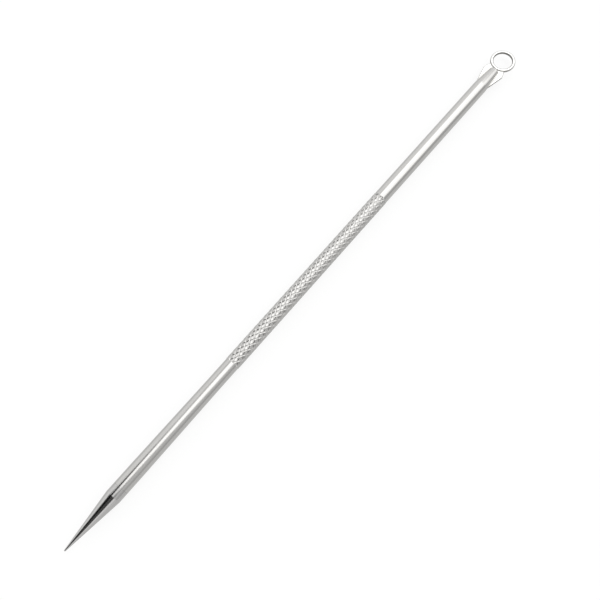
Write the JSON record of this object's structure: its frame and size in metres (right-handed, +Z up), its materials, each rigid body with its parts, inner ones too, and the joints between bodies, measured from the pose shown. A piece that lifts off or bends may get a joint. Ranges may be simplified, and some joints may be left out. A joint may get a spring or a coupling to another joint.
{
  "type": "comedone extractor",
  "caption": "Slim polished steel hand tool for blackheads: a needle point, a diamond-knurled rod grip and a small ring loop with two wings, brazed into a slotted, tapered nose.",
  "frame": {"origin": "middle of the overall box at its base: half way along the length, on the rod's centre plane, on the surface the tool lies on", "axes": "+X runs along the rod from the needle to the loop, +Y across the loop plate, +Z up, square to the flat loop plate"},
  "size_m": [0.1244, 0.0048, 0.003],
  "materials": {
    "rod_steel": "turned and polished stainless rod, near mirror, with faint rings along the turning and rolled diamond knurling",
    "needle_steel": "ground and polished stainless point with fine grinding rings",
    "sheet_steel": "stamped and pressed stainless sheet, tumbled and polished bright",
    "silver_braze": "satin silver brazing alloy, slightly warm"
  },
  "bodies": {
    "root": {"handle": "rod_steel", "needle_tip": "needle_steel", "loop_plate": "sheet_steel", "loop_braze": "silver_braze"}
  },
  "joints": []
}
